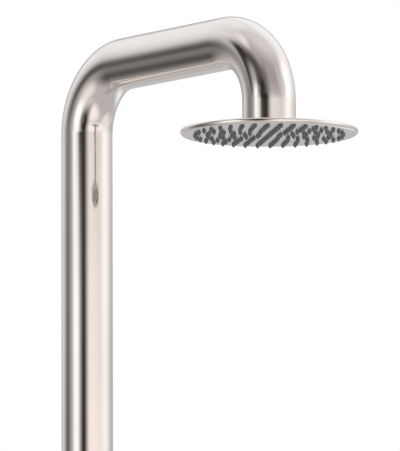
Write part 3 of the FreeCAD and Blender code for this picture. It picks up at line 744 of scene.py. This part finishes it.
@dataclass(frozen=True)
class Foot:
    """What shows round the foot: the spun cover, and the weld bead on the plate."""

    wall: float = 0.0012
    corner: float = 0.010
    corner_steps: int = 12
    skirt: float = 0.020
    rise: float = 0.014
    seal_width: float = 0.005
    lip_gap: float = 0.0005
    edge: float = 0.0004
    cover_segments: int = 256
    weld_gap: float = 0.00005
    weld_leg: float = 0.005
    weld_steps: int = 8
    weld_ripples: int = 64
    ripple_segments: int = 8
    ripple_height: float = 0.00018

    def cover_skin(self) -> Skin:
        """The cover: skirt, rounded shoulder, sloping top, neck and lip, and back along the inside.

        Returns:
            The closed skin.
        """
        low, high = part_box("base_cover")
        outer, lift, top = high.x, low.z, high.z
        wall, corner = self.wall, self.corner
        lip = PostTube.radius + self.lip_gap
        collar = PostTube.radius + self.seal_width + wall
        neck_foot = self.skirt + corner + self.rise
        centre = (outer - corner, self.skirt)
        profile = np.vstack([
            [(outer, lift)],
            arc(centre, corner, 0.0, 90.0, self.corner_steps),
            [(collar, neck_foot), (collar, top), (lip, top), (lip, top - wall)],
            [(collar - wall, top - wall), (collar - wall, neck_foot - wall)],
            arc(centre, corner - wall, 90.0, 0.0, self.corner_steps),
            [(outer - wall, lift)],
        ])
        return lathe(softened(profile, self.edge), self.cover_segments)

    def weld_skin(self) -> Skin:
        """A rippled bead in the corner between tube and plate.

        About the corner its face is (L / (cos a + sin a) + h sin 2a |sin(n t / 2)|) (cos a, sin a), where a
        goes from 0 at the plate to 90 degrees at the tube. The first part is the flat chord of a bead with
        the leg L, and the second is n ripples of the height h.

        Returns:
            The closed skin.
        """
        inner = PostTube.radius + self.weld_gap
        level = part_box("base_weld")[0].z
        angle = full_turn(self.weld_ripples * self.ripple_segments)
        slope = np.radians(np.linspace(0.0, 90.0, self.weld_steps + 1))[:, None]
        chord = 1.0 / (np.cos(slope) + np.sin(slope))
        swell = np.sin(2 * slope) * self.ripple_height * np.abs(np.sin(self.weld_ripples * angle / 2))
        reach = (self.weld_leg - 2 * self.ripple_height) * chord + swell
        radius = np.vstack([inner + 0 * angle, inner + reach * np.cos(slope)])
        height = np.vstack([level + 0 * angle, level + reach * np.sin(slope)])
        points = around(radius, angle, height)
        return sewn(points, points)

    def build(self, shop: Workshop) -> None:
        """Makes the cover and the weld."""
        shop.make("foot_cover", "base_cover", self.cover_skin(), body=Body.COVER)
        shop.make("foot_weld", "base_weld", self.weld_skin(), Slot.PLATE_STEEL)


@dataclass(frozen=True)
class MixerBranch:
    """The mixer's fixed outside: the branch that grows out of the post, and the part-ball in its end."""

    wall: float = 0.0015
    root_fillet: float = 0.0025
    fillet_steps: int = 8
    front_length: float = 0.004
    edge: float = 0.0003
    dome_radius: float = 0.023
    dome_wall: float = 0.0014
    dome_opening: float = 0.0132
    dome_steps: int = 40

    def branch_skin(self) -> Skin:
        """The branch's wall, with a smooth weld fillet at its root.

        At a distance d from the post's surface the outer radius is r + w - sqrt(w^2 - (w - d)^2) inside the
        fillet w, and r beyond it. The point at angle t is (sqrt(R^2 - y^2) + d, y, z) with y = radius cos t
        and z = radius sin t, where R is the post's radius. The next rows are the front's, and the last is the
        inside's at the root.

        Returns:
            The closed skin, in place.
        """
        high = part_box("valve_branch")[1]
        front, radius, inside = high.x, high.y, high.y - self.wall
        post, fillet = PostTube.radius, self.root_fillet
        angle = full_turn(ROUND)
        near = fillet * (1 - np.cos(np.radians(np.linspace(0.0, 90.0, self.fillet_steps + 1))))[:, None]
        flare = radius + fillet - np.sqrt(fillet ** 2 - (fillet - near) ** 2)
        ends = softened(np.array([
            (radius, front - self.front_length), (radius, front), (inside, front),
            (inside, front - self.front_length),
        ]), self.edge)
        radii = np.vstack([flare, ends[:, :1], [[inside]]])
        y, z = radii * np.cos(angle), radii * np.sin(angle)
        on_post = np.sqrt(post ** 2 - np.minimum(y, post) ** 2)
        rows = len(flare)
        x = np.vstack([on_post[:rows] + near, ends[:, 1:] + 0 * angle, on_post[-1:]])
        return sewn(grid(x, y, z), around(GRAIN_RADIUS, angle, x)).moved((0.0, 0.0, PIVOT[2]))

    def dome_skin(self) -> Skin:
        """The part-ball's wall, drawn as (radius, distance in front of the pivot).

        Returns:
            The closed skin, in place.
        """
        limits = (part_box("valve_branch")[1].x - PIVOT[0], self.dome_opening, self.dome_steps)
        outside, inside = zone(self.dome_radius, *limits), zone(self.dome_radius - self.dome_wall, *limits)
        profile = softened(np.vstack([outside, inside[::-1]]), self.edge, least_turn=40.0)
        return lathe(profile).on_pivot()

    def build(self, shop: Workshop) -> None:
        """Makes the branch and the part-ball."""
        shop.make("mixer_branch", "valve_branch", self.branch_skin())
        shop.make("mixer_dome", "dome_ring", self.dome_skin())


@dataclass(frozen=True)
class Handle:
    """What the hand holds: the cap over the dome, its lever, and the round hot and cold mark."""

    ball: float = 0.0234
    ball_steps: int = 32
    outer: float = 0.025
    rear: float = 0.0055
    front: float = 0.033
    edge_radius: float = 0.003
    edge_steps: int = 10
    stem_hole: float = 0.00325
    stem_end: float = 0.0296
    mark_radius: float = 0.005
    mark_gap: float = 0.00005
    mark_depth: float = 0.0015
    mark_swell: float = 0.00025
    mark_steps: int = 8
    lever_x: float = 0.017
    lever_radius: float = 0.004
    lever_seat: float = 0.020
    lever_length: float = 0.098
    lever_steps: int = 14
    soft_edge: float = 0.0003
    small_round: int = 64

    def cap_skin(self) -> Skin:
        """The cap: hollow ball behind, flat in front, with the mark's seat and the stem's hole.

        Returns:
            The closed skin, in place.
        """
        outer, front, edge = self.outer, self.front, self.edge_radius
        seat, floor = self.mark_radius + self.mark_gap, front - self.mark_depth
        profile = np.vstack([
            zone(self.ball, self.rear, self.stem_hole, self.ball_steps)[::-1],
            [(outer, self.rear)],
            arc((outer - edge, front - edge), edge, 0.0, 90.0, self.edge_steps),
            [(seat, front), (seat, floor), (0.0, floor)],
            [(0.0, self.stem_end), (self.stem_hole, self.stem_end)],
        ])
        return lathe(softened(profile, self.soft_edge, least_turn=35.0)).on_pivot()

    def lever_skin(self) -> Skin:
        """The lever: a straight rod with a half-ball end.

        Returns:
            The closed skin, in place.
        """
        radius, seat = self.lever_radius, self.lever_seat
        tip = arc((0.0, self.lever_length - radius), radius, 0.0, 90.0, self.lever_steps)
        profile = softened(np.vstack([[(0.0, seat), (radius, seat)], tip]), self.soft_edge)
        return lathe(profile, self.small_round).moved((PIVOT[0] + self.lever_x, *PIVOT[1:]))

    def mark_skin(self) -> Skin:
        """The mark: a shallow plug whose front falls by swell (r / R)^2 towards its rim.

        Returns:
            The closed skin, in place.
        """
        back = self.front - self.mark_depth
        across = np.linspace(self.mark_radius, 0.0, self.mark_steps + 1)
        domed = self.front - self.mark_swell * (across / self.mark_radius) ** 2
        profile = np.vstack([[(0.0, back), (self.mark_radius, back)], np.stack([across, domed], axis=-1)])
        return lathe(profile, self.small_round).on_pivot()

    def build(self, shop: Workshop) -> None:
        """Makes the cap, the lever and the mark.

        Args:
            shop: Makes the pieces.
        """
        shop.make("lever_cap", "handle_cap", self.cap_skin(), body=Body.HANDLE)
        shop.make("lever", "lever_rod", self.lever_skin(), body=Body.HANDLE)
        shop.make("temperature_mark", "index_plug", self.mark_skin(), Slot.MARK, Body.HANDLE)


@dataclass(frozen=True)
class SetScrew:
    """A set screw with a hexagon socket in its outer end."""

    name: str
    node: str
    body: Body
    turn: float
    turn_axis: Axis
    segments: int = 48
    socket_share: float = 0.5
    socket_depth: float = 0.0022
    bevel: float = 0.0003

    def skin(self) -> Skin:
        """The screw, with its socket's end up before it is turned.

        Its rows are circles, apart from the socket's, whose radius at angle t is a hexagon's half width
        divided by cos(t - the nearest side's angle).

        Returns:
            The closed skin, in place.
        """
        low, high = (np.array(corner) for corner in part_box(self.node))
        size = high - low
        half = (size[2] if self.turn_axis is Axis.X else size[0]) / 2
        radius, bevel, floor = size[1] / 2, self.bevel, half - self.socket_depth
        angle = full_turn(self.segments)
        socket = radius * self.socket_share / np.cos((angle + np.pi / 6) % (np.pi / 3) - np.pi / 6)
        rows = [(0.0, -half), (radius - bevel, -half), (radius, bevel - half), (radius, half - bevel),
                (radius - bevel, half), (socket, half), (socket, floor), (0.0, floor)]
        radii = np.vstack([r + 0 * angle for r, _ in rows])
        points = around(radii, angle, np.array([[height] for _, height in rows]))
        return sewn(points, points).turned(self.turn, self.turn_axis).moved(tuple((low + high) / 2))

    def build(self, shop: Workshop) -> None:
        """Makes the screw."""
        shop.make(self.name, self.node, self.skin(), Slot.PLATE_STEEL, self.body)


SET_SCREWS = (
    SetScrew("foot_screw_front", "block_screw_front", Body.POST, math.pi / 2, Axis.Y),
    SetScrew("foot_screw_back", "block_screw_back", Body.POST, -math.pi / 2, Axis.Y),
    SetScrew("mixer_screw", "body_screw", Body.POST, math.pi, Axis.X),
    SetScrew("lever_screw", "handle_screw", Body.HANDLE, math.pi, Axis.X),
)


@dataclass(frozen=True)
class RainHead:
    """The rain head: a shallow shell with a rounded rim, and the sheet with the nozzles."""

    rim_face_width: float = 0.0036
    rim_widest: float = 0.0040
    rim_top_width: float = 0.0017
    rim_height: float = 0.0060
    rim_depth: float = 0.0048
    under_steps: int = 14
    over_steps: int = 8
    wall: float = 0.0012
    flat_radius: float = 0.040
    hole: float = 0.0098
    ledge: float = 0.00125
    edge: float = 0.00025
    shell_segments: int = 320
    sheet_low: float = 0.0012
    sheet_high: float = 0.0027
    sheet_radius: float = 0.0951
    sheet_segments: int = 96
    nozzle_rings: int = 6
    inner_ring_nozzles: int = 6
    nozzle_segments: int = 12
    outer_ring: float = 0.08322
    collar_radius: float = 0.0023
    collar_height: float = 0.0022
    collar_bevel: float = 0.0004
    straight_share: float = 0.6
    tip_radius: float = 0.0012
    tip_length: float = 0.0014
    tip_foot: float = 0.00015
    tip_bevel: float = 0.0003
    bore: float = 0.0005
    bore_depth: float = 0.0008

    def centre(self) -> Triple:
        """Middle of the face's plane."""
        low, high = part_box("head_shell")
        return ((low.x + high.x) / 2, 0.0, low.z)

    def shell_skin(self) -> Skin:
        """The shell's wall: two arcs round the rim, a sloping top with a flat middle, and back inside.

        Returns:
            The closed skin, in place.
        """
        low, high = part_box("head_shell")
        radius, top = (high.x - low.x) / 2, high.z - low.z
        width, widest = self.rim_face_width, self.rim_widest
        under, under_angle = bulge(width, widest)
        over, over_angle = bulge(self.rim_top_width, self.rim_height - widest)
        slope = (top - self.rim_height) / (radius - self.rim_top_width - self.flat_radius)
        ledge_radius = radius - self.rim_depth
        inner_edge = self.rim_height + slope * (self.rim_depth - self.rim_top_width) - self.wall
        profile = np.vstack([
            arc((radius - under, widest), under, -under_angle, 0.0, self.under_steps),
            arc((radius - over, widest), over, 0.0, over_angle, self.over_steps)[1:],
            [(self.flat_radius, top), (self.hole, top), (self.hole, top - self.wall)],
            [(self.flat_radius, top - self.wall), (ledge_radius, inner_edge), (ledge_radius, self.ledge)],
            [(radius - width, self.ledge)],
        ])
        profile = softened(profile, self.edge, least_turn=30.0)
        return lathe(profile, self.shell_segments).moved(self.centre())

    def nozzle_skin(self) -> Skin:
        """One nozzle, on few faces: a rounded collar, a tapered tip and a fine bore.

        Returns:
            The closed skin, about the Z axis.
        """
        collar, tip = self.collar_radius, self.tip_radius
        low = -self.collar_height
        end = low - self.tip_length
        floor = end + self.bore_depth
        return lathe(np.array([
            (0.0, self.sheet_low), (collar, self.sheet_low), (collar, low * self.straight_share),
            (collar - self.collar_bevel, low), (tip + self.tip_foot, low), (tip, end + self.tip_bevel),
            (tip - self.tip_bevel, end), (self.bore, end), (self.bore, floor), (0.0, floor),
        ]), self.nozzle_segments)

    def nozzle_places(self) -> Array:
        """Where the nozzles stand, as (x, y, turn).

        One is in the middle. Ring i has 6 i nozzles at the radius i / 6 of the outer ring, and the odd rings
        are turned by half a step.

        Returns:
            The places, one row each.
        """
        places = [(0.0, 0.0, 0.0)]
        for ring in range(1, self.nozzle_rings + 1):
            copies = self.inner_ring_nozzles * ring
            start = math.pi / copies if ring % 2 else 0.0
            angle = start + np.arange(copies) * 2 * np.pi / copies
            radius = self.outer_ring * ring / self.nozzle_rings
            places += list(zip(radius * np.cos(angle), radius * np.sin(angle), angle))
        return np.array(places)

    def sheet_skin(self) -> Skin:
        """The sheet and its nozzles, each nozzle a copy of one skin turned and shifted to its place.

        Returns:
            The closed skins as one, in place.
        """
        outer, low, high = self.sheet_radius, self.sheet_low, self.sheet_high
        sheet = lathe(np.array([(0.0, low), (outer, low), (outer, high), (0.0, high)]), self.sheet_segments)
        nozzle = self.nozzle_skin()
        nozzles = (nozzle.turned(turn, Axis.Z).moved((x, y, 0.0)) for x, y, turn in self.nozzle_places())
        return joined([sheet, *nozzles]).moved(self.centre())

    def build(self, shop: Workshop) -> None:
        """Makes the shell and the nozzle sheet. The face's own node stays, with its holes."""
        shop.make("rain_shell", "head_shell", self.shell_skin())
        shop.make("nozzle_sheet", "nozzle_mat", self.sheet_skin(), Slot.RUBBER)


# ---- Studio ----

@dataclass(frozen=True)
class Panel:
    """A soft oval panel, or a dark flag, that stands round the object and that its metal mirrors.

    All angles are in degrees. Azimuth is measured from +X towards +Y, and elevation from the horizon upwards.
    """

    azimuth: float
    elevation: float
    turn: float
    half_width: float
    half_height: float
    softness: float
    colour: Colour

    def both_sides(self) -> tuple["Panel", "Panel"]:
        """The panel, and the same a full turn back, for one that reaches across the seam in azimuth."""
        return self, replace(self, azimuth=self.azimuth - 360.0)


PANELS = (
    Panel(-167.1, 44.5, -19.0, 54.3, 30.4, 0.35, (1.019, 0.998, 0.996)),
    Panel(-27.6, 36.0, -7.0, 91.8, 23.3, 0.77, (0.445, 0.407, 0.394)),
    Panel(115.0, 45.0, 3.0, 49.1, 31.4, 0.66, (1.080, 1.078, 1.080)),
    Panel(-112.8, 51.5, 0.1, 14.8, 9.9, 0.72, (0.973, 0.922, 0.919)),
    Panel(1.5, -3.2, -3.2, 70.6, 11.1, 0.60, (1.197, 1.078, 1.014)),
    Panel(-31.2, -35.5, 1.7, 38.8, 20.4, 0.61, (1.182, 1.087, 1.032)),
    Panel(99.9, 2.5, 7.8, 14.6, 5.5, 0.45, (0.571, 0.564, 0.562)),
    Panel(124.4, -27.5, 0.3, 19.7, 15.4, 0.65, (0.997, 1.019, 1.021)),
    Panel(55.5, 22.8, 12.2, 30.0, 20.4, 0.51, (1.288, 1.262, 1.240)),
    Panel(-141.2, 5.3, 1.4, 24.4, 23.2, 0.58, (0.775, 0.752, 0.749)),
    Panel(-92.1, 26.8, 3.2, 35.7, 15.0, 0.49, (0.105, 0.095, 0.090)),
    Panel(-119.1, 20.6, 1.3, 13.0, 10.7, 0.35, (0.044, 0.039, 0.034)),
    Panel(-73.8, 11.2, -2.2, 28.6, 3.7, 0.35, (0.056, 0.051, 0.040)),
    Panel(-52.9, -6.5, -2.9, 16.1, 35.1, 0.81, (0.021, 0.017, 0.014)),
    Panel(-136.6, -1.3, 20.0, 22.8, 13.3, 0.90, (0.118, 0.109, 0.101)),
    Panel(-151.9, -32.3, 0.3, 21.5, 19.4, 0.97, (0.097, 0.092, 0.087)),
    Panel(-89.3, -10.0, -11.6, 13.4, 19.8, 0.66, (1.374, 1.392, 1.387)),
    Panel(-97.9, 14.5, 4.8, 8.0, 6.5, 0.72, (1.534, 1.506, 1.474)),
    Panel(-101.3, -32.9, 0.3, 16.8, 16.0, 0.78, (1.015, 0.934, 0.900)),
    Panel(-59.7, -10.4, -0.4, 5.0, 6.7, 0.60, (0.170, 0.158, 0.148)),
    Panel(18.4, 33.5, 0.4, 11.5, 19.1, 0.62, (0.648, 0.602, 0.590)),
    Panel(32.1, 22.1, -0.2, 8.7, 11.4, 0.62, (0.756, 0.736, 0.712)),
    Panel(50.6, -19.5, 0.6, 21.2, 11.8, 0.73, (0.973, 0.928, 0.914)),
    Panel(-101.3, 20.0, 10.2, 11.7, 6.2, 0.82, (0.466, 0.443, 0.430)),
    Panel(-65.4, 18.4, -0.9, 11.0, 7.1, 0.60, (0.039, 0.034, 0.031)),
    Panel(-188.5, 5.6, 0.5, 4.0, 5.8, 0.59, (1.345, 1.356, 1.355)),
    *Panel(144.0, 5.4, 0.0, 30.6, 24.0, 0.47, (0.440, 0.435, 0.435)).both_sides(),
    *Panel(141.5, -11.0, 0.0, 22.0, 10.0, 0.40, (0.605, 0.600, 0.605)).both_sides(),
)


class World(Graph):
    """The surroundings: plain white for the camera, and for every other ray a soft room with panels in it."""

    seam = 30.0
    edges: Pair = (-16.8, 12.4)
    low: Colour = (0.585, 0.553, 0.538)
    high: Colour = (0.806, 0.768, 0.759)

    def __init__(self) -> None:
        """Makes an empty world."""
        self.world = bpy.data.worlds.new("studio")
        self.world.use_nodes = True
        super().__init__(self.world.node_tree)
        self.tree.nodes.clear()

    def angles(self) -> tuple[Socket, Socket]:
        """Azimuth and elevation of a ray in degrees, with azimuth's jump from -210 to 150 behind the object.

        The direction is turned by the seam's angle first, so azimuth is atan2(y, x) less that angle, and
        elevation is asin(z).

        Returns:
            The angles as one vector, and the elevation alone.
        """
        ray = self.add("TexCoord").outputs["Generated"]
        turned = self.add("Mapping", {"Vector": ray, "Rotation": (0.0, 0.0, math.radians(self.seam))})
        x, y, z = self.add("SeparateXYZ", {"Vector": turned.outputs["Vector"]}).outputs
        azimuth = self.maths("DEGREES", self.maths("ARCTAN2", y, x))
        elevation = self.maths("DEGREES", self.maths("ARCSINE", z))
        return self.add("CombineXYZ", {"X": azimuth, "Y": elevation}).outputs["Vector"], elevation

    def share_of(self, panel: Panel, angles: Socket) -> Socket:
        """How much a panel covers: a smooth step over its softness in r.

        r is the length of the offset from its middle, turned by its turn and divided by its half sizes.

        Args:
            panel: The panel.
            angles: The ray's azimuth and elevation.

        Returns:
            The share from 0 to 1.
        """
        local = self.add("Mapping", {
            "Vector": angles,
            "Location": (panel.azimuth + self.seam, panel.elevation, 0.0),
            "Rotation": (0.0, 0.0, math.radians(panel.turn)),
            "Scale": (panel.half_width, panel.half_height, 1.0),
        }, vector_type="TEXTURE")
        distance = self.length(local.outputs["Vector"])
        return self.ramp(distance, 1.0 + panel.softness, 1.0 - panel.softness)

    def build(self) -> None:
        """Makes the surroundings."""
        angles, elevation = self.angles()
        room = self.blend(self.ramp(elevation, *self.edges), self.low, self.high)
        for panel in PANELS:
            room = self.blend(self.share_of(panel, angles), room, panel.colour)
        studio = self.add("Background", {"Color": room})
        plain = self.add("Background", {"Color": (1.0, 1.0, 1.0, 1.0)})
        choice = self.mixed(self.to_camera(), studio, plain)
        self.add("OutputWorld", {"Surface": choice.outputs["Shader"]})
        bpy.context.scene.world = self.world
        LOG.info("studio: %d panels", len(PANELS))


@dataclass(frozen=True)
class Camera:
    """A long lens at eye height that looks up at the arm from the front left."""

    place: Triple = (4.51297, -3.40806, 1.33452)
    yaw: float = -0.90047
    pitch: float = 0.12001
    roll: float = -0.00408
    lens: float = 386.179
    sensor: float = 36.0
    nearest: float = 0.1
    farthest: float = 200.0

    def build(self) -> None:
        """Makes the camera and sets it as the scene's."""
        data = bpy.data.cameras.new("camera")
        data.lens, data.sensor_width = self.lens, self.sensor
        data.clip_start, data.clip_end = self.nearest, self.farthest
        camera = bpy.data.objects.new("camera", data)
        yaw, pitch, roll = (Matrix.Rotation(angle, 4, axis) for angle, axis in (
            (-self.yaw, "Z"), (math.pi / 2 + self.pitch, "X"), (self.roll, "Z")))
        camera.matrix_world = Matrix.Translation(self.place) @ yaw @ pitch @ roll
        bpy.context.scene.collection.objects.link(camera)
        bpy.context.scene.camera = camera


@dataclass(frozen=True)
class Studio:
    """Pale floor, surroundings for the metal to mirror, one soft lamp, and the camera."""

    floor_radius: float = 3.0
    floor_segments: int = 96
    lamp_strength: float = 1.1
    lamp_spread: float = 30.0
    lamp_turns: Triple = (38.0, 8.0, -20.0)

    def build(self) -> None:
        """Makes the studio."""
        World().build()
        self.make_floor()
        self.make_lamp()
        Camera().build()

    def make_floor(self) -> None:
        """A round pale floor of one face, which keeps the shadow and which the metal doesn't mirror."""
        points = around(self.floor_radius, full_turn(self.floor_segments), 0.0)[0]
        mesh = bpy.data.meshes.new("floor")
        mesh.from_pydata(points.tolist(), [], [range(self.floor_segments)])
        floor = bpy.data.objects.new("floor", mesh)
        bpy.context.scene.collection.objects.link(floor)
        mesh.materials.append(PaleFloor().make("pale_floor"))
        floor.visible_glossy = False

    def make_lamp(self) -> None:
        """One broad soft lamp from the upper left front, which the metal doesn't mirror."""
        data = bpy.data.lights.new("soft_lamp", "SUN")
        data.energy = self.lamp_strength
        data.angle = math.radians(self.lamp_spread)
        lamp = bpy.data.objects.new("soft_lamp", data)
        lamp.rotation_euler = [math.radians(turn) for turn in self.lamp_turns]
        lamp.visible_glossy = False
        bpy.context.scene.collection.objects.link(lamp)


def main() -> None:
    """Builds every sub-assembly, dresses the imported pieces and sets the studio."""
    logging.basicConfig(level=logging.INFO, format="%(name)s: %(message)s")
    shop = Workshop()
    shop.dress_packed()
    for sub_assembly in (PostTube(), Foot(), MixerBranch(), Handle(), *SET_SCREWS, RainHead()):
        sub_assembly.build(shop)
    Studio().build()
    bpy.context.scene.view_settings.view_transform = "Standard"


if __name__ == "__main__":
    main()
